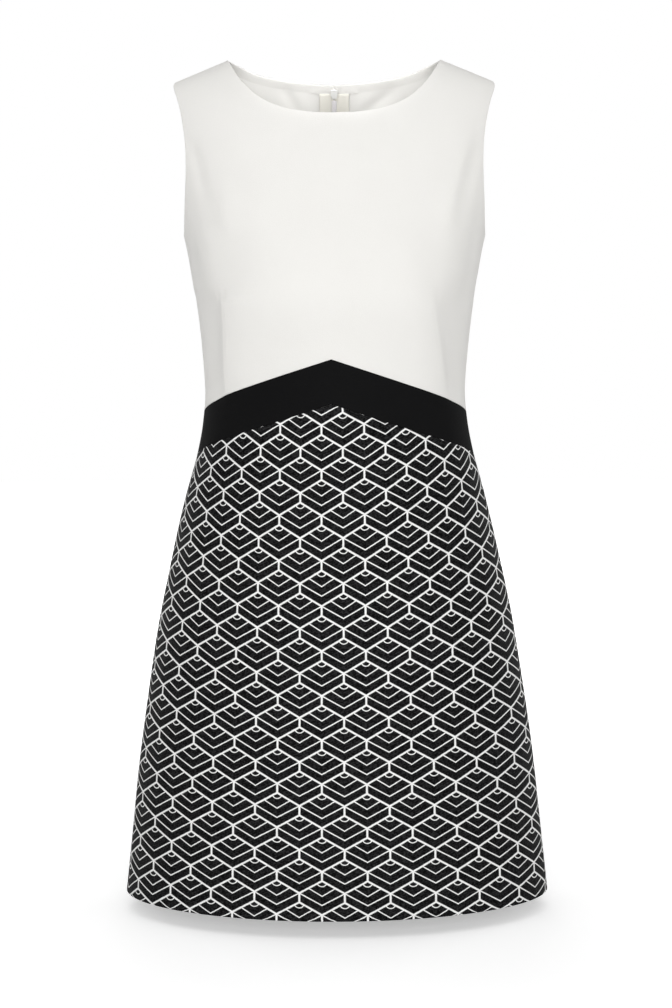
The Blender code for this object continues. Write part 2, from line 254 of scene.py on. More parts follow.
def surface(face, angle, z):
    """Points of the cloth. The angle is 0 at the centre and a quarter turn at a side seam."""
    x = half_width(z) * np.sin(angle)
    below = np.clip((shoulder_height(x) - z) / roll_reach(face, x), 0.0, 1.0)
    roll = np.sqrt(1 - (1 - below) ** 2)
    return np.stack([x, face * full_depth(face, angle, z) * roll, z + 0 * x], -1)


def edge_angles(face, z):
    """Angles at which the cloth starts, beside the zip's notch, and ends, at side or armhole."""
    wide = half_width(z)
    arm = np.minimum(armhole[face](z) / wide, 1.0)
    outer = np.where(z <= UNDERARM_Z + 1e-9, math.pi / 2, np.arcsin(arm))
    if face == FRONT:
        return 0.0 * z, outer
    opening = np.clip((z - ZIP_NOTCH_Z) / (neckline[BACK](0.0) - ZIP_NOTCH_Z), 0.0, 1.0)
    return np.arcsin(ZIP_NOTCH_HALF_WIDTH * opening / wide), outer


def angle_at(face, share, z):
    inner, outer = edge_angles(face, z)
    return np.sign(share) * (inner + (outer - inner) * np.abs(share))


def run_along(points):
    """Length along a line of points, up to each of them."""
    steps = np.linalg.norm(np.diff(points, axis=0), axis=-1)
    return np.concatenate([0 * steps[:1], np.cumsum(steps, axis=0)])


def ring_shares(face, z):
    """Angles round half a ring, and the length of cloth up to each."""
    angles = np.linspace(0.0, math.pi / 2, 400)
    return angles, run_along(surface(face, angles, np.full_like(angles, z)))


TOP_EDGE_START = -0.02
TOP_EDGE_STEPS = 40
waist_angles, waist_lengths = ring_shares(FRONT, BAND_SIDE_Z)
peak_angle = np.interp(abs(BAND_PEAK_ASIDE), waist_lengths, waist_angles)
peak_share = float(np.sign(BAND_PEAK_ASIDE) * peak_angle * 2 / math.pi)


def band_top(face, share):
    if face == BACK:
        return np.full_like(share, BAND_SIDE_Z)
    along = np.sign(share) * np.interp(np.abs(share) * math.pi / 2, waist_angles, waist_lengths)
    aside = along - BAND_PEAK_ASIDE
    reach = waist_lengths[-1] - np.sign(aside) * BAND_PEAK_ASIDE
    away = np.clip(np.abs(aside) / reach, 0.0, 1.0)
    sag = np.where(aside > 0, BAND_SAG_LEFT, BAND_SAG_RIGHT) * away * np.sqrt(1 - away)
    return BAND_PEAK_Z + (BAND_SIDE_Z - BAND_PEAK_Z) * away - sag


def band_bottom(face, share):
    return band_top(face, share) - BAND_HEIGHT


def hem(face, share):
    return np.full_like(share, HEM_Z)


def top_edge(face, share):
    """Height of the neckline or the shoulder seam where a column meets it, found in steps."""
    z = np.full_like(share, TOP_EDGE_START)
    for _ in range(TOP_EDGE_STEPS):
        x = half_width(z) * np.sin(np.abs(angle_at(face, share, z)))
        z = np.where(x < NECK_HALF_WIDTH, neckline[face](x), shoulder_height(x))
        z = np.minimum(z, 0.0)
    return z


# ---------------------------------------------------------------- Folds and creases of the cloth
# Soft folds, in millimetres, as seen from the front or the back: where they start and end, how
# wide they are, and how far they stand out (below 0: a trough)
Crease = namedtuple("Crease", "x1 z1 x2 z2 width height")
CREASES = {
    FRONT: [
        Crease(-138, -86, -126, -134, 6.5, -1.5),
        Crease(-122, -138, -117, -170, 9.0, -1.2),
        Crease(-106, -128, -101, -176, 11.0, 0.9),
        Crease(-122, -140, -119, -228, 17.0, 2.4),
        Crease(118, -140, 112, -222, 18.5, 2.5),
        Crease(-125, -174, -117, -214, 12.0, 1.0),
        Crease(-141, -176, -129, -226, 6.5, -1.2),
        Crease(139, -86, 119, -156, 7.0, -1.5),
        Crease(127, -96, 106, -166, 10.0, 0.9),
        Crease(139, -164, 127, -236, 6.5, -1.5),
        Crease(-112, -230, -111.5, -238, 2.1, -0.85),
        Crease(-106, -227, -106, -235, 2.1, -0.7),
        Crease(98, -229, 99, -238, 3.0, -0.5),
        Crease(107, -269, 109, -279, 2.6, -0.5),
    ],
    BACK: [
        Crease(58, -27, 28, -50, 6.5, 1.9),
        Crease(-50, -25, -35, -52, 6.0, 1.5),
        Crease(-136, -92, -112, -150, 8.0, -1.4),
        Crease(-120, -100, -100, -160, 11.0, 0.8),
        Crease(137, -88, 115, -146, 8.0, -1.6),
        Crease(122, -100, 104, -158, 11.0, 0.8),
        Crease(-62, -315, 50, -322, 8.0, -1.0),
        Crease(-50, -303, 30, -306, 8.0, 0.6),
        Crease(70, -298, 8, -304, 7.0, -0.8),
    ],
}
# Darts, in millimetres: where each starts at the bottom seam and where it ends, how far the
# cloth swells at it and sinks between it and the side seam, and the share of its length past its
# end that this reaches
Dart = namedtuple("Dart", "x1 z1 x2 z2 swell hollow reach")
DARTS = {
    FRONT: [
        Dart(-105, -332, -106, -233, 3.4, 5.0, 0.11),
        Dart(108, -332, 92, -238, 2.5, 4.6, 0.28),
    ],
    BACK: [
        Dart(-74, -345, -78, -205, 1.2, 1.6, 0.18),
        Dart(74, -345, 79, -203, 1.2, 1.6, 0.18),
    ],
}
DART_SOFTNESS = 0.025
DART_BEND = 0.06
DART_START = (0.15, 0.45)
DART_FADE = 1.4
DART_SEWN_FADE = 0.15
DART_SEWN_LOW = 0.35
# Height and width of the ridge and of the groove along a dart's seam
DART_RIDGE = (0.0002, 0.0060)
DART_GROOVE = (0.00035, 0.0013)
# The dimple at a dart's end: depth, place and length as shares of the dart, and width
DART_DIMPLE = (0.00045, 1.03, 0.07, 0.005)
CREASE_FADE = (0.35, 0.6)
UNEVEN = 0.0003
UNEVEN_WAVES = (0.031, 0.047, 0.039, 0.053)


def along_line(x, z, x1, z1, x2, z2):
    """Share along a line given in millimetres, and the distance to its left, in metres."""
    start = np.array([x1, z1]) * MM
    line = np.array([x2, z2]) * MM - start
    length = np.hypot(*line)
    share = ((x - start[0]) * line[0] + (z - start[1]) * line[1]) / length**2
    aside = ((z - start[1]) * line[0] - (x - start[0]) * line[1]) / length
    return share, aside


def hump(distance, width):
    """Falls from 1 to 0 on both sides of a line."""
    return np.exp(-((distance / width) ** 2))


def relief(piece, x, z):
    """How far the cloth stands out from the even surface, with its folds and darts."""
    wave_x, wave_z, other_z, other_x = UNEVEN_WAVES
    height = UNEVEN * np.sin(x / wave_x + z / wave_z) * np.sin(z / other_z - x / other_x + 1.0)
    before, fading = CREASE_FADE
    for x1, z1, x2, z2, width, rise in CREASES[piece.face]:
        share, aside = along_line(x, z, x1, z1, x2, z2)
        fade = smooth((share + before) / fading) * smooth((1 + before - share) / fading)
        height += rise * MM * fade * hump(aside, width * MM)
    for dart in DARTS[piece.face]:
        share, aside = along_line(x, z, dart.x1, dart.z1, dart.x2, dart.z2)
        side = math.copysign(1.0, dart.x1)
        away = -aside * side
        remaining = half_width(z) - np.abs(x)
        out = 1 - remaining / (remaining + np.maximum(away, 0.0) + 1e-6)
        out = np.hypot(out, DART_BEND) - DART_BEND
        outward = dart.swell * (1 - out) - dart.hollow * 4 * out * (1 - out)
        inward = dart.swell * hump(away, DART_SOFTNESS)
        plane = np.where(away > 0, outward, inward) * MM
        before, rising = DART_START
        length = smooth((share + before) / rising)
        length = length * smooth((1 + dart.reach - share) / DART_FADE / dart.reach)
        height += length * np.where(x * side > 0, plane, 0.0)
        if not piece.yoke:
            continue
        sewn = DART_SEWN_LOW + (1 - DART_SEWN_LOW) * smooth(share)
        sewn = sewn * smooth((1.0 - share) / DART_SEWN_FADE)
        ridge = DART_RIDGE[0] * hump(aside, DART_RIDGE[1])
        groove = DART_GROOVE[0] * hump(aside, DART_GROOVE[1])
        deep, place, long, wide = DART_DIMPLE
        dimple = deep * hump(share - place, long) * hump(aside, wide)
        height += sewn * (ridge - groove) - dimple
    return height


# ---------------------------------------------------------------- Cut pieces
# A cut piece: its side is 0 where it spans both, and a yoke is one that reaches the shoulder
Piece = namedtuple("Piece", "name face side bottom top yoke")
# A ring of a turned edge: its points, the way the cloth faces, its thickness as a share of the
# cloth's, and how far it is along the flat cloth from the boundary
Turned = namedtuple("Turned", "points facing thickness reach")
DART_MARGIN = 0.03


def unit(vectors):
    return vectors / np.maximum(np.linalg.norm(vectors, axis=-1, keepdims=True), 1e-12)


def grid_normals(points, outward):
    """Normals of a grid of points on its outward side, and 1 or -1 by its faces' order."""
    normals = unit(np.cross(np.gradient(points, axis=1), np.gradient(points, axis=0)))
    flip = np.sign(np.sum(normals * outward, axis=2, keepdims=True).mean())
    return normals * flip, flip


def closing(count):
    """Shares from 0 to 1 whose steps shrink towards both ends."""
    return (1 - np.cos(np.linspace(0.0, math.pi, count + 1))) / 2


def columns_for(piece):
    """Shares across the piece, closer together at the darts. A front has one at the peak."""
    spread = GRID_SIZE * math.pi / 2
    count = int(spread / GRID)
    shares = np.linspace(0.0, 1.0, count + 1)
    if piece.yoke:
        neck = float(np.arcsin(NECK_HALF_WIDTH / half_width(0.0)))
        inner, outer = edge_angles(piece.face, np.zeros(1))
        neck_share = (neck - inner[0]) / (outer[0] - inner[0])
        nearest = round(neck_share * count)
        beyond = np.linspace(neck_share, 1.0, count - nearest + 1)[1:]
        shares = np.concatenate([np.linspace(0.0, neck_share, nearest + 1), beyond])
        step = FINE_GRID / spread
        for dart in DARTS[piece.face]:
            if dart.x1 < 0:
                continue
            ends = [(dart.x1, dart.z1), (dart.x2, dart.z2)]
            ends = [2 / math.pi * float(np.arcsin(x * MM / half_width(z * MM))) for x, z in ends]
            low, high = min(ends) - DART_MARGIN, max(ends) + DART_MARGIN
            fine = np.arange(low, high, step)
            fine = fine[np.abs(fine - neck_share) > 0.6 * step]
            keep = (shares < low - step) | (shares > high + step)
            keep |= np.isclose(shares, neck_share)
            shares = np.unique(np.concatenate([shares[keep], fine]))
    if piece.side:
        return shares
    shares = np.concatenate([-shares[:0:-1], shares])
    shares[np.argmin(np.abs(shares - peak_share))] = peak_share
    return shares


def heights_for(piece, shares):
    """Heights of the grid's points, row by row, and the number of the underarm's row."""
    low = piece.bottom(piece.face, shares)
    high = piece.top(piece.face, shares)
    if piece.yoke:
        lower = np.linspace(0.0, 1.0, int(GRID_SIZE / GRID) + 1)[:, None]
        upper = closing(int(GRID_SIZE * math.pi / 2 / GRID))[1:, None]
        lower = lower * (UNDERARM_Z - low) + low
        upper = upper * (high - UNDERARM_Z) + UNDERARM_Z
        return np.concatenate([lower, upper]), len(lower) - 1
    count = int(float((high - low).max()) / GRID)
    return np.linspace(0.0, 1.0, count + 1)[:, None] * (high - low) + low, None


def seam_corrected(points, normals):
    """Normals at seams kept in the seam's own plane, so that both sides of it match."""
    fixed = normals.copy()
    fixed[np.abs(points[..., 1]) < 1e-5, 1] = 0.0
    fixed[np.abs(points[..., 0]) < 1e-6, 0] = 0.0
    return unit(fixed)


def grid_quads(rows, cols, flip=1):
    """Faces of a grid of points, as four point numbers each."""
    index = np.arange(rows * cols).reshape(rows, cols)
    quads = np.stack([index[:-1, :-1], index[:-1, 1:], index[1:, 1:], index[1:, :-1]], -1)
    return quads.reshape(-1, 4)[:, ::flip]


def grid_border(rows, cols):
    """Row and column of each point on a grid's border, in order round it."""
    top, last = rows - 1, cols - 1
    border = [(0, j) for j in range(last)] + [(i, last) for i in range(top)]
    return border + [(top, j) for j in range(last, 0, -1)] + [(i, 0) for i in range(top, 0, -1)]


def mitre(before, after, width_before, width_after):
    """Way out of a corner that leaves both its turnings parallel to their edges."""
    c = float(before @ after)
    scale = 1.0 / max(1 - c * c, 0.02)
    share_before = (width_before - c * width_after) * scale
    share_after = (width_after - c * width_before) * scale
    return before * share_before + after * share_after


def nearest_on(tree, targets, normals):
    """The nearest places on a surface, and the directions in which it faces there."""
    found = [tree.find_nearest(Vector(target)) for target in targets]
    places = np.array([place for place, *_ in found])
    facing = np.array([direction for _, direction, *_ in found])
    back = np.sum(facing * normals, axis=1, keepdims=True) < 0
    return places, np.where(back, -facing, facing)


class Cut:
    """A cut piece's main grid, its boundary and its turned edges, as arrays of points."""

    def __init__(self, piece):
        self.piece = piece
        self.shares = columns_for(piece)
        self.z, underarm_row = heights_for(piece, self.shares)
        angles = angle_at(piece.face, self.shares[None, :] + 0 * self.z, self.z)
        self.angles = angles * (piece.side or 1)
        base = surface(piece.face, self.angles, self.z)
        outward = base * np.array([1.0, 1.0, 0.0])
        normals, flip = grid_normals(base, outward)
        lift = relief(piece, base[..., 0], self.z)
        points = base + seam_corrected(base, normals) * lift[..., None]
        detailed, _ = grid_normals(points, outward)
        self.points = points.reshape(-1, 3)
        self.normals = seam_corrected(base, detailed).reshape(-1, 3)
        self.flip = int(flip)
        self.quads = grid_quads(*self.z.shape, self.flip)
        self.find_edges(underarm_row)
        self.turn_edges()

    def find_edges(self, underarm_row):
        """The boundary's points in order, which are corners, and the turning after each."""
        piece = self.piece
        rows, cols = self.z.shape
        top, last = rows - 1, cols - 1
        border = grid_border(rows, cols)
        corners = {(0, 0), (0, last), (top, last), (top, 0)}
        if not piece.side:
            peak = int(np.argmin(np.abs(self.shares - peak_share)))
            edges = ((0, piece.bottom), (top, piece.top))
            corners |= {(row, peak) for row, edge in edges if edge in (band_top, band_bottom)}
        if piece.yoke:
            from_neck = np.abs(np.abs(self.points[-cols:, 0]) - NECK_HALF_WIDTH)
            corners |= {(top, int(j)) for j in np.nonzero(from_neck < 0.0005)[0]}
            corners |= {(underarm_row, j) for j in (0, last) if abs(self.shares[j]) > 0.999}
        self.border = np.array([i * cols + j for i, j in border])
        self.is_corner = np.array([place in corners for place in border])
        at_hem = np.array([i == 0 and piece.bottom is hem for i, _ in border])
        self.widths = np.where(at_hem & np.roll(at_hem, -1), HEM_TURNING, ALLOWANCE)

    def turn_edges(self):
        """Rings of points from the boundary round the fold and back inside the piece."""
        edge, normal = self.points[self.border], self.normals[self.border]
        ahead = np.roll(edge, -1, axis=0)
        after = unit(ahead - edge)
        before = np.roll(after, 1, axis=0)
        out_after = unit(np.cross(after, normal)) * self.flip
        out_before = unit(np.cross(before, normal)) * self.flip
        through = unit(ahead - np.roll(edge, 1, axis=0))
        width_after, width_before = self.widths, np.roll(self.widths, 1)
        widest = np.maximum(width_before, width_after)
        corners = np.nonzero(self.is_corner)[0]
        inset = -unit(np.cross(through, normal)) * self.flip * width_after[:, None]
        for k in corners:
            inset[k] = -mitre(out_before[k], out_after[k], width_before[k], width_after[k])
        per_metre = inset / np.where(self.is_corner, widest, width_after)[:, None]
        inset = inset + self.corner_pull(corners, edge, after, before, inset)

        count = len(edge)
        tree = BVHTree.FromPolygons([Vector(point) for point in self.points], self.quads.tolist())
        self.points[self.border] = edge + per_metre * FOLD_RADIUS
        outward = -unit(per_metre)
        self.turned = []
        for step in range(1, FOLD_STEPS + 1):
            bend = math.pi * step / FOLD_STEPS
            sine, cosine = math.sin(bend), math.cos(bend)
            ring = edge + per_metre * FOLD_RADIUS * (1 - sine) - normal * FOLD_RADIUS * (1 - cosine)
            facing = unit(outward * sine + normal * cosine)
            reach = np.full(count, FOLD_RADIUS * bend)
            self.turned.append(Turned(ring, facing, np.ones(count), reach))
        is_hem = widest > ALLOWANCE
        pressed = np.where(is_hem, 2 * FOLD_RADIUS, PRESSED_GAP)
        thinning = np.where(is_hem, 0.0, THIN_END - 1)
        over_tape = np.zeros(count)
        if self.piece.face == BACK and self.piece.yoke:
            near = TAPE_OUTER_X + TAPE_LIFT_FADE - np.abs(edge[:, 0])
            over_tape = smooth(near / TAPE_LIFT_FADE) * (edge[:, 2] > TAPE_LIFT_Z) * TAPE_LIFT
        for share in ALLOWANCE_SHARES:
            places, facing = nearest_on(tree, edge + inset * share, normal)
            under = 2 * FOLD_RADIUS + (pressed - 2 * FOLD_RADIUS) * share**2 + over_tape * share
            ring = places - facing * under[:, None]
            reach = FOLD_RADIUS * math.pi + width_after * share
            self.turned.append(Turned(ring, -facing, 1 + thinning * share, reach))

    def corner_pull(self, corners, edge, after, before, inset):
        """How far the turnings' inner edges are pulled along the boundary near its corners."""
        travelled = run_along(np.concatenate([edge, edge[:1]]))
        total = travelled[-1]
        pull = np.zeros_like(edge)
        for start, end in zip(corners, np.roll(corners, -1)):
            between = (start + np.arange(1, (end - start) % len(edge))) % len(edge)
            gone = (travelled[between] - travelled[start]) % total
            span = (travelled[end] - travelled[start]) % total
            reach = min(CORNER_REACH, span / 2)
            shift = float(inset[start] @ after[start]) * np.maximum(0.0, 1 - gone / reach)
            shift += float(inset[end] @ before[end]) * np.maximum(0.0, 1 - (span - gone) / reach)
            pull[between] += after[between] * shift[:, None]
        return pull


def double_skin(name, right, wrong, quads, border, flip=1):
    """A closed mesh: two skins with the same faces, and an edge between them along a border."""
    size = len(right)
    onward = np.roll(border, -1)
    edge = np.stack([border, border + size, onward + size, onward], -1)[:, ::flip]
    faces = np.concatenate([quads, quads[:, ::-1] + size, edge])
    mesh = bpy.data.meshes.new(name)
    mesh.from_pydata(np.concatenate([right, wrong]).tolist(), [], faces.tolist())
    mesh.shade_smooth()
    return mesh


def cloth_mesh(cut, materials):
    """The closed mesh of a cut piece: right side, wrong side, and the raw edge between them."""
    main, count = len(cut.points), len(cut.border)
    right = np.concatenate([cut.points] + [ring.points for ring in cut.turned])
    facing = np.concatenate([cut.normals] + [ring.facing for ring in cut.turned])
    thickness = np.concatenate([np.ones(main)] + [ring.thickness for ring in cut.turned])
    wrong = right - facing * CLOTH * thickness[:, None]
    rings = [cut.border]
    rings += [main + number * count + np.arange(count) for number in range(len(cut.turned))]
    quads = [cut.quads]
    for near, far in zip(rings, rings[1:]):
        quads.append(np.stack([near, far, np.roll(far, -1), np.roll(near, -1)], -1)[:, :: cut.flip])
    quads = np.concatenate(quads)
    mesh = double_skin(cut.piece.name, right, wrong, quads, rings[-1], cut.flip)
    for made in materials:
        mesh.materials.append(made)
    is_wrong = np.arange(len(mesh.polygons)) >= len(quads)
    mesh.polygons.foreach_set("material_index", is_wrong.astype(np.int32))
    mesh.set_sharp_from_angle(angle=math.radians(50))
    corners = np.zeros(len(mesh.loops), np.int32)
    mesh.loops.foreach_get("vertex_index", corners)
    for name, places in (("flat_cut", flat_map(cut)[corners]), ("OFBake", bake_map(cut))):
        layer = mesh.uv_layers.new(name=name)
        layer.data.foreach_set("uv", places.astype(np.float32).ravel())
    mesh.validate()
    return mesh


def flat_map(cut):
    """Where each point lies on the flat cloth or, for the skirt, on its print."""
    flat = print_places(cut) if cut.piece.bottom is hem else flat_places(cut)
    border = flat[cut.border]
    onward = np.roll(border, -1, axis=0) - np.roll(border, 1, axis=0)
    beyond = unit(np.stack([onward[:, 1], -onward[:, 0]], -1))
    beyond *= np.sign(np.sum(beyond * (border - flat.mean(0))))
    turned = [border + beyond * ring.reach[:, None] for ring in cut.turned]
    return np.tile(np.concatenate([flat] + turned), (2, 1))


# The map for baking has a strip for each side of the cloth and of its turnings: where it starts
# and how tall it is
Strip = namedtuple("Strip", "low tall")
CLOTH_STRIPS = (Strip(0.01, 0.77), Strip(0.86, 0.09))
TURNED_STRIPS = (Strip(0.80, 0.045), Strip(0.96, 0.03))
RAW_EDGE_STRIP = (0.848, 0.852)
STRIP_START = 0.01
STRIP_WIDTHS = (0.98, 0.97)


def bake_map(cut):
    """Where each corner of each face lies on the map for baking."""
    rows, cols = cut.z.shape
    count, ring_count = len(cut.border), len(cut.turned)
    across = STRIP_START + STRIP_WIDTHS[0] * np.tile(np.linspace(0.0, 1.0, cols), rows)
    up = np.repeat(np.linspace(0.0, 1.0, rows), cols)
    around = STRIP_START + STRIP_WIDTHS[1] * np.arange(count + 1) / count

    def row_of_faces(low, high):
        corners = ((around[:-1], low), (around[:-1], high), (around[1:], high), (around[1:], low))
        places = [np.stack([along, np.full(count, level)], -1) for along, level in corners]
        return np.stack(places, 1)[:, :: cut.flip]

    sides = []
    for cloth, turning, order in zip(CLOTH_STRIPS, TURNED_STRIPS, (1, -1)):
        levels = turning.low + turning.tall * np.arange(ring_count + 1) / ring_count
        grid = np.stack([across, cloth.low + cloth.tall * up], -1)[cut.quads]
        turned = [row_of_faces(low, high) for low, high in zip(levels, levels[1:])]
        sides += [faces[:, ::order] for faces in (grid, *turned)]
    return np.concatenate(sides + [row_of_faces(*RAW_EDGE_STRIP)]).reshape(-1, 2)


# ---------------------------------------------------------------- Print
# The print's repeat and where a crossing of its lines lies, in millimetres: from the centre line,
# and down along the cloth from FLAT_TOP_Z
PRINT_REPEAT = (41.5, 43.0)
PRINT_START = (7.2, 1.3)
# How the cut skirt takes the print at its top, in the middle and at its hem: height, share of the
# width, squeeze towards the side seams, bow of the rows per metre, tilt, and lean in millimetres
PRINT_LEVELS = (
    (-0.390, 1.008, -0.027, -0.46, 0.031, -6.9),
    (-0.610, 0.974, -0.106, 0.04, -0.002, -5.3),
    (-0.831, 0.942, -0.108, 0.42, -0.014, -3.6),
)
PRINT_EASE = 0.0725
# Where the front's upper seam has pulled the print down, or up if below 0: across the cloth, how
# wide and how far, in millimetres, and the length over which the pull fades, in metres
Pull = namedtuple("Pull", "x reach drop")
PULLS = [Pull(14, 38, 3.6), Pull(-85, 30, -2.4)]
PULL_FADE = 0.048
FLAT_TOP_Z = -0.330


def print_level(z):
    """The values of PRINT_LEVELS at a height, on smooth curves through the three levels."""
    levels = np.array(PRINT_LEVELS)
    shares = np.ones((len(levels), len(z)))
    for i, j in permutations(range(len(levels)), 2):
        shares[i] *= (z - levels[j, 0]) / (levels[i, 0] - levels[j, 0])
    return levels[:, 1:].T @ shares


class FlatTable:
    """Lengths along the cloth of a face: round each ring, and down its centre line."""

    def __init__(self, face):
        self.z = np.linspace(HEM_Z, 0.0, 300)
        self.angles = np.linspace(0.0, math.pi / 2, 200)
        z, angles = np.meshgrid(self.z, self.angles, indexing="ij")
        points = surface(face, angles, z)
        self.arcs = run_along(points.swapaxes(0, 1)).T
        down = run_along(points[:, 0])
        self.down = np.interp(FLAT_TOP_Z, self.z, down) - down

    def arc(self, angle, z):
        row = np.clip((z - self.z[0]) / (self.z[1] - self.z[0]), 0, len(self.z) - 1.001)
        col = np.clip(np.abs(angle) / self.angles[1], 0, len(self.angles) - 1.001)
        i, j = row.astype(int), col.astype(int)
        s, t = row - i, col - j
        low = self.arcs[i, j] * (1 - t) + self.arcs[i, j + 1] * t
        high = self.arcs[i + 1, j] * (1 - t) + self.arcs[i + 1, j + 1] * t
        return (low * (1 - s) + high * s) * np.sign(angle)

    def slant(self, z):
        return np.interp(z, self.z, self.down)


flat_tables = {face: FlatTable(face) for face in (FRONT, BACK)}


def flat_places(cut):
    """Where each point of the main grid lies on the flat cloth, in metres."""
    table = flat_tables[cut.piece.face]
    arc = table.arc(cut.angles, cut.z).ravel()
    return np.stack([arc, table.slant(cut.z.ravel())], -1)


def print_places(cut):
    """Where each point of the main grid lies on the print, in metres."""
    table = flat_tables[cut.piece.face]
    arc, slant = flat_places(cut).T
    z = cut.z.ravel()
    half = table.arc(np.full_like(z, math.pi / 2), z)
    total = float(table.slant(np.array(HEM_Z)))
    t = slant / total - 0.5
    down = slant + PRINT_EASE * total * (t * t - 0.25) / 2
    share = arc / half
    width, squeeze, bow, tilt, lean = print_level(z)
    u = arc * (width + squeeze * share**2) + lean * MM * share**2
    v = down - bow * arc**2 / 2 + tilt * arc
    for pull in PULLS if cut.piece.face == FRONT else ():
        near = np.exp(-(((arc / MM - pull.x) / pull.reach) ** 2) - slant / PULL_FADE)
        v = v - pull.drop * MM * near
    return np.stack([u, v], -1)


def flat_size(cut):
    """Width, length and area that the piece was cut to, with its turnings."""
    border = flat_places(cut)[cut.border]
    onward = np.roll(border, -1, axis=0)
    cross = border[:, 0] * onward[:, 1] - border[:, 1] * onward[:, 0]
    turned = np.linalg.norm(onward - border, axis=1) * cut.widths
    area = abs(cross.sum()) / 2 + turned.sum()
    size = np.ptp(border, axis=0) + ALLOWANCE + np.array([ALLOWANCE, cut.widths.max()])
    return float(size[0]), float(size[1]), float(area)


class Field:
    """A number that varies over a surface: a shader node's output, with arithmetic."""

    def __init__(self, tree, socket):
        self.tree = tree
        self.socket = socket

    def calc(self, operation, *others, clamp=False):
        node = self.tree.nodes.new("ShaderNodeMath")
        node.operation = operation
        node.use_clamp = clamp
        for socket, value in zip(node.inputs, (self, *others)):
            if isinstance(value, Field):
                self.tree.links.new(value.socket, socket)
            else:
                socket.default_value = value
        return Field(self.tree, node.outputs[0])

    __add__ = partialmethod(calc, "ADD")
    __sub__ = partialmethod(calc, "SUBTRACT")
    __mul__ = partialmethod(calc, "MULTIPLY")
    abs = partialmethod(calc, "ABSOLUTE")
    above = partialmethod(calc, "GREATER_THAN")
    below = partialmethod(calc, "LESS_THAN")
    max = partialmethod(calc, "MAXIMUM")

    def wrap(self, low, high):
        return self.calc("WRAP", high, low)

    def wave(self, period):
        return (self * (2 * math.pi / period)).calc("SINE")

    def clamped(self):
        return self.calc("ADD", 0.0, clamp=True)


LINE_BLUR = 0.3
# The motif hangs from its apex, in millimetres: the drop of its sloping lines over half a repeat,
# the two nested chevrons under them, and the eye in its apex
APEX_DROP = 10.0
SLOPE_DROP = 12.4
OUTER_CHEVRON = 24.3
INNER_CHEVRON = (12.5, 7.2, 15.2)
EYE = (1.2, 4.45)
LINE_WIDTHS = dict(slope=1.80, strut=1.85, outer=1.12, inner=1.02, eye=0.95)


def line(distance, width):
    """1 on a line of that width and 0 beside it."""
    return (distance.abs() * (-1 / LINE_BLUR) + (width / 2 / LINE_BLUR + 0.5)).clamped()


def chevron(aside, down, reach, rise, width):
    """A bent line that rises by so much, within its reach, to both sides of its lowest point."""
    return line((down * reach + aside * rise) * (1 / math.hypot(reach, rise)), width)


def motif(u, v):
    wide, tall = PRINT_REPEAT
    half = wide / 2
    aside = u.wrap(-half, half).abs()
    down = v.wrap(0.0, tall) - APEX_DROP
    length = math.hypot(half, SLOPE_DROP)
    slope = (down * half - aside * SLOPE_DROP) * (1 / length)
    white = line(slope, LINE_WIDTHS["slope"])
    white = white.max(line(aside, LINE_WIDTHS["strut"]) * down.below(0.5))
    under_slope = slope.above(-0.3)
    rise = OUTER_CHEVRON - SLOPE_DROP
    outer = chevron(aside, down - OUTER_CHEVRON, half, rise, LINE_WIDTHS["outer"])
    white = white.max(outer * under_slope)
    end, start, bottom = INNER_CHEVRON
    inner = chevron(aside, down - bottom, end, bottom - start, LINE_WIDTHS["inner"])
    white = white.max(inner * under_slope * aside.below(end + 1))
    centre, radius = EYE
    across = (aside * aside + (down - centre) * (down - centre)).calc("SQRT")
    return white.max(line(across - radius, LINE_WIDTHS["eye"]) * slope.above(0.0))


# ---------------------------------------------------------------- Materials
CLOTH_GLOSS = 0.10
DARK_GLOSS = 0.05
CREPE_BUMP = 0.00022
OFF_WHITE = ((0.760, 0.750, 0.722), (0.835, 0.825, 0.798))
# The wrong side is a shade lighter than the right side: painted light, standing in for light that
# reaches the inside of the dress
OFF_WHITE_REVERSE_PAINTED_LIFT = ((0.770, 0.760, 0.732), (0.845, 0.835, 0.808))
BLACK = ((0.0035, 0.0035, 0.0038), (0.0085, 0.0085, 0.0088))
TWILL_COLOUR = (0.016, 0.016, 0.017)
TWILL_ROUGHNESS = 0.72
TWILL_TONES = ((0.0004, 0.0004, 0.0005), (0.024, 0.024, 0.025))
INK_TONES = ((0.79, 0.79, 0.78), (0.88, 0.88, 0.87))
RIB_WAY = (0.42, 0.91)
RIB_WIDTH = 2.1
RIB_BUMP = 0.00012
PRINT_WOBBLE = 0.5


def set_inputs(tree, node, inputs):
    for name, value in inputs.items():
        socket = node.inputs[name.replace("_", " ")]
        if isinstance(value, Field):
            tree.links.new(value.socket, socket)
        else:
            socket.default_value = value


def new_material(name, colour, roughness, **inputs):
    made = bpy.data.materials.new(name)
    made.use_nodes = True
    made.diffuse_color = (*colour, 1.0)
    tree = made.node_tree
    shader = tree.nodes["Principled BSDF"]
    set_inputs(tree, shader, dict(Base_Color=(*colour, 1.0), Roughness=roughness, **inputs))
    return made, tree, shader


def add_node(tree, kind, **inputs):
    node = tree.nodes.new(kind)
    set_inputs(tree, node, inputs)
    return node


def object_place(tree):
    return tree.nodes.new("ShaderNodeTexCoord").outputs["Object"]


def object_noise(tree, scale, detail=2.0, roughness=0.5):
    node = add_node(tree, "ShaderNodeTexNoise", Scale=scale, Detail=detail, Roughness=roughness)
    tree.links.new(object_place(tree), node.inputs["Vector"])
    return Field(tree, node.outputs["Fac"])


def along_axes(tree, place, axes):
    """A place's coordinates along some axes, in millimetres."""
    split = tree.nodes.new("ShaderNodeSeparateXYZ")
    tree.links.new(place, split.inputs[0])
    return [Field(tree, split.outputs[axis]) * 1000.0 for axis in axes]


def flat_cut(tree):
    """Place on the flat cloth, in millimetres."""
    node = tree.nodes.new("ShaderNodeUVMap")
    node.uv_map = "flat_cut"
    return along_axes(tree, node.outputs["UV"], "XY")


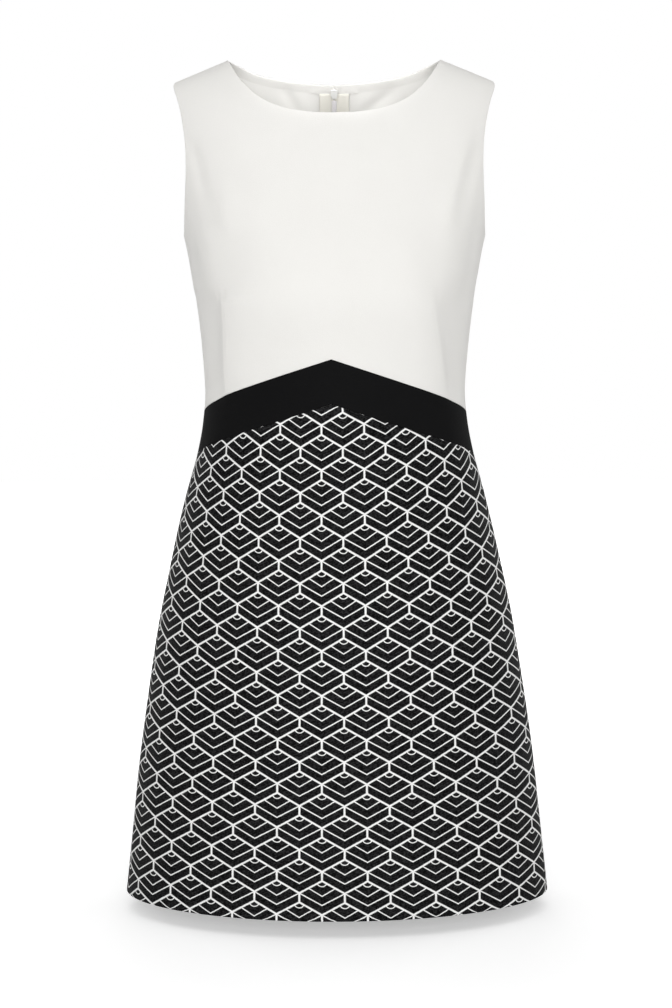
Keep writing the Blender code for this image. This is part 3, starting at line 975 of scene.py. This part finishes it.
def mix_colours(tree, share, low, high):
    node = tree.nodes.new("ShaderNodeMix")
    node.data_type = "RGBA"
    tree.links.new(share.socket, node.inputs["Factor"])
    for socket, value in ((node.inputs[6], low), (node.inputs[7], high)):
        if isinstance(value, tuple):
            socket.default_value = (*value, 1.0)
        else:
            tree.links.new(value, socket)
    return node.outputs[2]


def paint(tree, shader, tone, low, high):
    tree.links.new(mix_colours(tree, tone, low, high), shader.inputs["Base Color"])


def add_bump(tree, shader, height, distance):
    node = add_node(tree, "ShaderNodeBump", Distance=distance, Height=height)
    tree.links.new(node.outputs["Normal"], shader.inputs["Normal"])


def blend(pattern, pattern_share, grain, grain_share, less):
    """A tone made of two patterns, kept between 0 and 1."""
    return (pattern * pattern_share + grain * grain_share).calc("SUBTRACT", less, clamp=True)


def crepe(name, tones, roughness, gloss, sheen=0.0):
    """A pebbled crepe: fine irregular grains, and slow changes of tone."""
    made, tree, shader = new_material(
        name, tones[1], roughness, Sheen_Weight=sheen, Sheen_Roughness=0.5, Specular_IOR_Level=gloss
    )
    grain = object_noise(tree, 1400.0, 3.0, 0.6)
    cloud = object_noise(tree, 14.0)
    paint(tree, shader, blend(grain, 0.65, cloud, 0.5, 0.08), *tones)
    add_bump(tree, shader, grain, CREPE_BUMP)
    return made


def twill(name, printed):
    """Black twill with a fine diagonal rib, and the white line print on its right side."""
    made, tree, shader = new_material(
        name, TWILL_COLOUR, TWILL_ROUGHNESS, Specular_IOR_Level=DARK_GLOSS
    )
    u, v = flat_cut(tree)
    rib = (u * RIB_WAY[0] + v * RIB_WAY[1]).wave(RIB_WIDTH) * 0.5 + 0.5
    tone = blend(rib, 0.45, object_noise(tree, 520.0, roughness=0.7), 4.2, 1.98)
    ground = mix_colours(tree, tone, *TWILL_TONES)
    if printed:
        wobble = (object_noise(tree, 420.0, roughness=0.6) - 0.5) * PRINT_WOBBLE
        u = u - PRINT_START[0] + wobble
        v = v - PRINT_START[1] + wobble
        wide, tall = PRINT_REPEAT
        white = motif(u, v).max(motif(u - wide / 2, v - tall / 2))
        ground = mix_colours(tree, white, ground, mix_colours(tree, tone, *INK_TONES))
    tree.links.new(ground, shader.inputs["Base Color"])
    add_bump(tree, shader, rib, RIB_BUMP)
    return made


# ---------------------------------------------------------------- Build
def add_object(name, mesh):
    made = bpy.data.objects.new(name, mesh)
    bpy.context.scene.collection.objects.link(made)
    return made


bodice_materials = (
    crepe("off_white_crepe", OFF_WHITE, 0.78, CLOTH_GLOSS, sheen=0.10),
    # The wrong side's slightly lighter tone is painted light for the inside of the dress
    crepe("off_white_reverse_painted_lift", OFF_WHITE_REVERSE_PAINTED_LIFT, 0.80, CLOTH_GLOSS, sheen=0.10),
)
band_materials = (
    crepe("black_crepe", BLACK, 0.85, DARK_GLOSS),
    crepe("black_reverse", BLACK, 0.90, DARK_GLOSS),
)
skirt_materials = (twill("printed_twill", True), twill("twill_reverse", False))

PARTS = [
    ("bodice", band_top, top_edge, True, bodice_materials, "bodice_crepe"),
    ("waistband", band_bottom, band_top, False, band_materials, "waistband_crepe"),
    ("skirt", hem, band_bottom, False, skirt_materials, "printed_twill"),
]
SIDES = [("front", FRONT, 0), ("back_left", BACK, LEFT), ("back_right", BACK, RIGHT)]


def build_cloth():
    for part, bottom, top, yoke, materials, slot in PARTS:
        for suffix, face, side in SIDES:
            piece = Piece(f"{part}_{suffix}", face, side, bottom, top, yoke)
            cut = Cut(piece)
            made = add_object(f"{piece.name}_cloth", cloth_mesh(cut, materials))
            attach(made, "garment")
            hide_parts(piece.name)
            width, length, area = flat_size(cut)


build_cloth()


# ---------------------------------------------------------------- Zip
TAPE_ROWS = 230
TAPE_THICKNESS = 0.0005
TAPE_DEPTH = 0.00145
# Across a tape, in millimetres: how far from the centre, how much deeper in the dress, and how
# much thicker than the rest
TAPE_ACROSS = (
    (1.2, 0.25, -0.3),
    (1.7, 0.05, 0.15),
    (2.4, 0.02, 0.1),
    (3.2, 0.0, 0.0),
    (5.5, 0.0, 0.0),
    (8.0, 0.0, 0.0),
    (10.5, 0.0, 0.0),
    (13.0, 0.0, 0.0),
    (14.6, 0.02, -0.05),
    (15.0, 0.1, -0.25),
)
# Its herringbone weave, in millimetres, and the slight ripple of its free edge
WEAVE_WIDTH = 1.2
WEAVE_PITCH = 0.8
RIPPLE = 0.00008
RIPPLE_PERIOD = 0.0031
RIPPLE_SHARES = (0.2, 1.0)
COIL_PITCH = 0.0011
COIL_WIRE = 0.00045
COIL_REACH = (-0.0004, 0.0024)
COIL_HEIGHT = 0.00050
COIL_DEPTH = 0.00265
COIL_TOP_Z = -0.0345
COIL_END_Z = ZIP_END_Z + 0.004
COIL_OFFSET = 0.25
COIL_STEPS = 8
COIL_SIDES = 5
# Any direction that no tube's path takes
TUBE_LEAD = (0.31, 0.17, 0.93)


def centre_back(z):
    """Points on the centre-back line and their outward normals."""
    z = np.atleast_1d(np.asarray(z, float))
    step = 0.0005
    flat = np.zeros_like(z)
    points = surface(BACK, flat, z)
    up = surface(BACK, flat, z + step) - surface(BACK, flat, z - step)
    normals = unit(np.cross(up, np.array([-1.0, 0.0, 0.0])))
    normals *= np.sign(normals[:, 1:2])
    return points, normals


def tube(name, path, sides, radius, closed_ends=True):
    """A round tube along a path of points."""
    path = np.asarray(path)
    along = unit(np.gradient(path, axis=0))
    lead = unit(np.cross(along, TUBE_LEAD))
    turns = (np.arange(sides) * 2 * math.pi / sides)[None, :, None]
    around = lead[:, None] * np.cos(turns) + np.cross(along, lead)[:, None] * np.sin(turns)
    rings = path[:, None] + radius * around
    index = np.arange(len(path) * sides).reshape(-1, sides)
    near, far = index[:-1], index[1:]
    quads = np.stack([near, np.roll(near, -1, 1), np.roll(far, -1, 1), far], -1)
    faces = quads.reshape(-1, 4).tolist()
    if closed_ends:
        faces += [index[0, ::-1].tolist(), index[-1].tolist()]
    mesh = bpy.data.meshes.new(name)
    mesh.from_pydata(rings.reshape(-1, 3).tolist(), [], faces)
    mesh.shade_smooth()
    return mesh


def healed(mesh, *others):
    """The mesh with others added to it, its doubled points merged and its faces turned out."""
    bm = bmesh.new()
    for part in (mesh, *others):
        bm.from_mesh(part)
    bmesh.ops.remove_doubles(bm, verts=bm.verts, dist=1e-6)
    bmesh.ops.recalc_face_normals(bm, faces=bm.faces)
    bm.to_mesh(mesh)
    bm.free()
    for part in others:
        bpy.data.meshes.remove(part)
    return mesh


def zip_object(name, mesh, finish, sharp_above=None):
    mesh.shade_smooth()
    if sharp_above:
        mesh.set_sharp_from_angle(angle=math.radians(sharp_above))
    mesh.materials.clear()
    mesh.materials.append(finish)
    return add_object(name, mesh)


def tape_material():
    made, tree, shader = new_material("cream_tape", (0.91, 0.89, 0.82), 0.85, Specular_IOR_Level=0.2)
    x, z = along_axes(tree, object_place(tree), "XZ")
    weave = (x.wrap(-WEAVE_WIDTH, WEAVE_WIDTH).abs() + z).wave(WEAVE_PITCH) * 0.5 + 0.5
    tone = blend(weave, 0.55, object_noise(tree, 1800.0), 0.5, 0.05)
    paint(tree, shader, tone, (0.88, 0.86, 0.78), (0.95, 0.93, 0.86))
    add_bump(tree, shader, weave, 0.00015)
    return made


def nylon_material():
    made, tree, shader = new_material("nylon_coil", (0.93, 0.91, 0.92), 0.45)
    grain = object_noise(tree, 700.0)
    paint(tree, shader, grain, (0.90, 0.88, 0.90), (0.96, 0.94, 0.95))
    add_bump(tree, shader, grain, 0.00003)
    return made


def enamel_material():
    made, tree, shader = new_material(
        "white_enamel", (0.85, 0.85, 0.83), 0.32, Coat_Weight=0.3, Coat_Roughness=0.15
    )
    grain = object_noise(tree, 260.0, 3.0, 0.6)
    paint(tree, shader, grain, (0.82, 0.82, 0.80), (0.88, 0.88, 0.86))
    set_inputs(tree, shader, dict(Roughness=grain * 0.12 + 0.26))
    add_bump(tree, shader, grain, 0.00004)
    return made


def zip_tape(name, side, finish):
    """A woven tape with a thicker cord along its inner edge."""
    heights = np.linspace(ZIP_END_Z, TAPE_TOP_Z, TAPE_ROWS)
    places, deeper, thicker = np.array(TAPE_ACROSS).T * MM
    z = heights[:, None] + 0 * places[None, :]
    base = surface(BACK, np.arcsin(places[None, :] / half_width(z)) * side, z)
    normals, _ = grid_normals(base, base * np.array([1.0, 1.0, 0.0]))
    ripple = np.sin(heights / RIPPLE_PERIOD)[:, None] * np.linspace(*RIPPLE_SHARES, len(places))
    near = TAPE_DEPTH + deeper + RIPPLE * ripple
    far = near + TAPE_THICKNESS + thicker
    skins = [(base - normals * depths[..., None]).reshape(-1, 3) for depths in (near, far)]
    border = np.array([i * len(places) + j for i, j in grid_border(*z.shape)])
    mesh = double_skin(name, *skins, grid_quads(*z.shape), border)
    return zip_object(name, healed(mesh), finish)


def zip_coil(name, side, finish):
    """One row of the nylon coil: a flat helix along the inner edge of its tape."""
    fine = np.linspace(COIL_TOP_Z, COIL_END_Z, 600)
    travelled = run_along(centre_back(fine)[0])
    turns = int(travelled[-1] / COIL_PITCH)
    phase = np.arange(turns * COIL_STEPS + 1) / COIL_STEPS + side * COIL_OFFSET
    points, normals = centre_back(np.interp(phase * COIL_PITCH, travelled, fine))
    turned = phase * 2 * math.pi
    path = points - normals * (COIL_DEPTH + COIL_HEIGHT * np.sin(turned))[:, None]
    middle, swing = sum(COIL_REACH) / 2, (COIL_REACH[1] - COIL_REACH[0]) / 2
    path[:, 0] = side * (middle - swing * np.cos(turned))
    return zip_object(name, tube(name, path, COIL_SIDES, COIL_WIRE), finish)


def zip_frame():
    """The slider's place: across, out of the cloth and up along it, under the tab's joint."""
    _, normals = centre_back(SLIDER_Z)
    out = Vector(normals[0])
    across = Vector((1.0, 0.0, 0.0))
    up = across.cross(out)
    turn = Matrix((across, out, up)).transposed().to_4x4()
    bail = Vector(frame["joints"][0]["pos_m"])
    return Matrix.Translation(bail - out * (BAIL_LIFT + BAIL_RADIUS)) @ turn


def rounded_block(bm, size, centre, rounding, lower_share=1.0):
    """A block with rounded edges that narrows towards its lower end."""
    made = bmesh.ops.create_cube(bm, size=1.0)["verts"]
    for vert in made:
        share = lower_share if vert.co.z < 0 else 1.0
        x, y, z = vert.co
        vert.co = Vector((x * size[0] * share, y * size[1], z * size[2])) + Vector(centre)
    edges = list({edge for vert in made for edge in vert.link_edges})
    bmesh.ops.bevel(
        bm, geom=edges, offset=rounding, segments=4, profile=0.5, affect="EDGES", clamp_overlap=True
    )


def zip_slider(finish):
    """Slider: two plates joined by a bridge, a neck through the seam, and a bail outside."""
    bm = bmesh.new()
    width, thick, tall = SLIDER_SIZE
    near = -(WALL + SEAM + TAPE_WALL + SLIDER_GAP)
    far = near - thick
    middle = (near + far) / 2
    plate = thick * PLATE_SHARE
    rounding = plate * PLATE_ROUNDING
    rounded_block(bm, (width, plate, tall), (0, far + plate / 2, 0), rounding, PLATE_LOWER)
    flange = (FLANGE, thick + 2 * FLANGE_LIP, tall * FLANGE_TALL)
    for sign in (-1, 1):
        place = (sign * (width - FLANGE) / 2, middle + FLANGE_LIP, tall * FLANGE_RAISE)
        rounded_block(bm, flange, place, SLIDER_ROUNDING)
    bridge_width, bridge_tall, raised = BRIDGE
    bridge = (bridge_width, thick, bridge_tall)
    rounded_block(bm, bridge, (0, middle, tall * raised), SLIDER_ROUNDING)
    neck = (SLIDER_NECK[0], NECK_TOP - far, SLIDER_NECK[1])
    rounded_block(bm, neck, (0, (NECK_TOP + far) / 2, 0), SLIDER_ROUNDING)
    rounded_block(bm, CAP, (0, CAP_OUT, 0), CAP_ROUNDING)
    mesh = bpy.data.meshes.new("zip_slider_body")
    bm.to_mesh(mesh)
    bm.free()
    turns = np.linspace(0, 2 * math.pi, BAIL_STEPS + 1)
    away = BAIL_LIFT + BAIL_RADIUS * (1 + np.cos(turns))
    path = np.stack([0 * turns, away, BAIL_RADIUS * np.sin(turns)], -1)
    healed(mesh, tube("bail", path, BAIL_SIDES, BAIL_WIRE, closed_ends=False))
    mesh.transform(zip_frame())
    return zip_object("zip_slider_body", mesh, finish, sharp_above=40)


def arc(centre, radius, start, end, steps):
    """Points along an arc in the XY plane, with angles in degrees."""
    turns = [math.radians(start + (end - start) * i / steps) for i in range(steps + 1)]
    return [(centre[0] + radius * math.cos(t), centre[1] + radius * math.sin(t)) for t in turns]


def pull_tab(finish):
    """The drop-shaped tab with rounded edges, which hangs from the bail by its eye."""
    bar = TAB_THICKNESS / 2
    end = TAB_END_HALF_WIDTH - TAB_ROUNDING
    top = bar - TAB_ROUNDING - TAB_CORNER
    side = TAB_EYE_HALF_WIDTH - TAB_ROUNDING - TAB_CORNER
    outline = arc((side, top), TAB_CORNER, 0, 90, 6)
    outline += arc((-side, top), TAB_CORNER, 90, 180, 6)
    outline += arc((0.0, -TAB_LENGTH + bar + TAB_END_HALF_WIDTH), end, 180, 360, 28)
    hole_x = TAB_HOLE[0] + TAB_ROUNDING
    hole_top = -bar - TAB_ROUNDING * 0.2
    low = -bar - TAB_HOLE[1] - TAB_ROUNDING + HOLE_CORNER
    hole = arc((hole_x - HOLE_CORNER, low), HOLE_CORNER, 360, 270, 6)
    hole += arc((HOLE_CORNER - hole_x, low), HOLE_CORNER, 270, 180, 6)
    hole += [(-hole_x, hole_top), (hole_x, hole_top)]
    drawn = bpy.data.curves.new("zip_pull", "CURVE")
    drawn.dimensions = "2D"
    drawn.fill_mode = "BOTH"
    drawn.extrude = bar - TAB_ROUNDING
    drawn.bevel_depth = TAB_ROUNDING
    drawn.bevel_resolution = 3
    for loop in (outline, hole):
        spline = drawn.splines.new("POLY")
        spline.points.add(len(loop) - 1)
        for point, (x, y) in zip(spline.points, loop):
            point.co = (x, y, 0.0, 1.0)
        spline.use_cyclic_u = True
    flat = add_object("tab_outline", drawn)
    bpy.context.view_layer.update()
    evaluated = flat.evaluated_get(bpy.context.evaluated_depsgraph_get())
    mesh = healed(bpy.data.meshes.new_from_object(evaluated))
    bpy.data.objects.remove(flat)
    mesh.name = "zip_pull"
    lift = Matrix.Translation((0.0, BAIL_LIFT + BAIL_RADIUS, 0.0))
    mesh.transform(zip_frame() @ lift @ Matrix.Rotation(math.pi / 2, 4, "X"))
    return zip_object("zip_pull", mesh, finish, sharp_above=50)


def build_zip():
    tape, nylon, enamel = tape_material(), nylon_material(), enamel_material()
    line, _ = centre_back(np.linspace(ZIP_END_Z, TAPE_TOP_Z, TAPE_ROWS))
    for suffix, side in (("left", LEFT), ("right", RIGHT)):
        made = zip_tape(f"zip_tape_{suffix}_woven", side, tape)
        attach(made, "garment")
        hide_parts(f"zip_tape_{suffix}")
        coil = zip_coil(f"zip_coil_{suffix}", side, nylon)
        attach(coil, "garment")
    slider = zip_slider(enamel)
    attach(slider, "garment")
    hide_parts("zip_slider")
    tab = pull_tab(enamel)
    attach(tab, "pull_tab")
    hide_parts("zip_pull_tab")


build_zip()


# ---------------------------------------------------------------- Floor, light and camera
WHITE = (1.0, 1.0, 1.0, 1.0)
FLOOR_Z = -0.848
FLOOR_GLOW = 0.41
FLOOR_FADE = (0.5, 1.5)
CAMERA_PLACE = (0.0004, -2.460, -0.238)
CAMERA_PITCH = 4.7
CAMERA_ROLL = -0.2
FOCAL_LENGTH = 87.857


def build_stage():
    mesh = bpy.data.meshes.new("floor")
    bm = bmesh.new()
    bmesh.ops.create_circle(bm, cap_ends=True, radius=6.0, segments=96)
    bm.to_mesh(mesh)
    bm.free()
    floor = add_object("floor", mesh)
    floor.location.z = FLOOR_Z
    made, tree, shader = new_material("pale_floor", (0.80, 0.80, 0.80), 0.9)
    paint(tree, shader, object_noise(tree, 3.0), (0.79, 0.79, 0.79), (0.81, 0.81, 0.81))
    distance = tree.nodes.new("ShaderNodeVectorMath")
    distance.operation = "LENGTH"
    tree.links.new(object_place(tree), distance.inputs[0])
    far = (Field(tree, distance.outputs["Value"]) - FLOOR_FADE[0]) * (1 / FLOOR_FADE[1])
    glow = far.clamped() * (1.0 - FLOOR_GLOW) + FLOOR_GLOW
    path = tree.nodes.new("ShaderNodeLightPath")
    glow = glow * Field(tree, path.outputs["Is Camera Ray"])
    set_inputs(tree, shader, dict(Emission_Color=WHITE, Emission_Strength=glow))
    mesh.materials.append(made)


Lamp = namedtuple("Lamp", "name place size power")
Beam = namedtuple("Beam", "name place aim angle power")
MIDDLE = (0.0, 0.0, -0.42)
WORLD_STRENGTH = 0.28
BEAM_BLEND = 0.5
BEAM_SOFTNESS = 0.02
LAMPS = [
    Lamp("key", (0.06, -3.4, 0.0), 1.6, 68.0),
    Lamp("top", (0.0, -0.5, 2.6), 4.8, 54.0),
    Lamp("rear", (-0.3, 3.4, 0.6), 2.0, 26.0),
    Lamp("rim_left", (2.2, 1.85, -0.3), 1.4, 20.0),
    Lamp("rim_right", (-2.2, 1.85, -0.3), 1.4, 20.0),
]
# Narrow beams through the neck on to the inside of the back
NECK_BEAMS = [
    Beam("neck_left", (-0.30, -0.80, 0.24), (0.058, 0.040, -0.032), 7.2, 22.0),
    Beam("neck_right", (0.30, -0.80, 0.24), (-0.058, 0.040, -0.032), 7.2, 22.0),
]


def place_lamp(name, lamp, place, aim):
    made = add_object(name, lamp)
    made.location = place
    turn = (Vector(aim) - Vector(place)).to_track_quat("-Z", "Y")
    made.rotation_euler = turn.to_euler()


def build_light():
    scene = bpy.context.scene
    world = bpy.data.worlds.new("studio")
    scene.world = world
    world.use_nodes = True
    tree = world.node_tree
    light = tree.nodes["Background"]
    set_inputs(tree, light, dict(Color=WHITE, Strength=WORLD_STRENGTH))
    seen = add_node(tree, "ShaderNodeBackground", Color=WHITE, Strength=1.0)
    path = tree.nodes.new("ShaderNodeLightPath")
    mix = tree.nodes.new("ShaderNodeMixShader")
    tree.links.new(path.outputs["Is Camera Ray"], mix.inputs["Fac"])
    tree.links.new(light.outputs["Background"], mix.inputs[1])
    tree.links.new(seen.outputs["Background"], mix.inputs[2])
    tree.links.new(mix.outputs["Shader"], tree.nodes["World Output"].inputs["Surface"])
    for spec in LAMPS:
        lamp = bpy.data.lights.new(spec.name, "AREA")
        lamp.size = spec.size
        lamp.energy = spec.power
        place_lamp(spec.name, lamp, spec.place, MIDDLE)
    for spec in NECK_BEAMS:
        lamp = bpy.data.lights.new(spec.name, "SPOT")
        lamp.spot_size = math.radians(spec.angle)
        lamp.spot_blend = BEAM_BLEND
        lamp.shadow_soft_size = BEAM_SOFTNESS
        lamp.energy = spec.power
        place_lamp(spec.name, lamp, spec.place, spec.aim)
    scene.view_settings.view_transform = "Standard"


def build_camera():
    lens = bpy.data.cameras.new("camera")
    lens.lens = FOCAL_LENGTH
    lens.sensor_width = 36.0
    lens.clip_end = 50.0
    camera = add_object("camera", lens)
    camera.location = CAMERA_PLACE
    tilt = Matrix.Rotation(math.radians(90 - CAMERA_PITCH), 4, "X")
    roll = Matrix.Rotation(math.radians(CAMERA_ROLL), 4, "Z")
    camera.rotation_euler = (tilt @ roll).to_euler()
    bpy.context.scene.camera = camera


build_stage()
build_light()
build_camera()
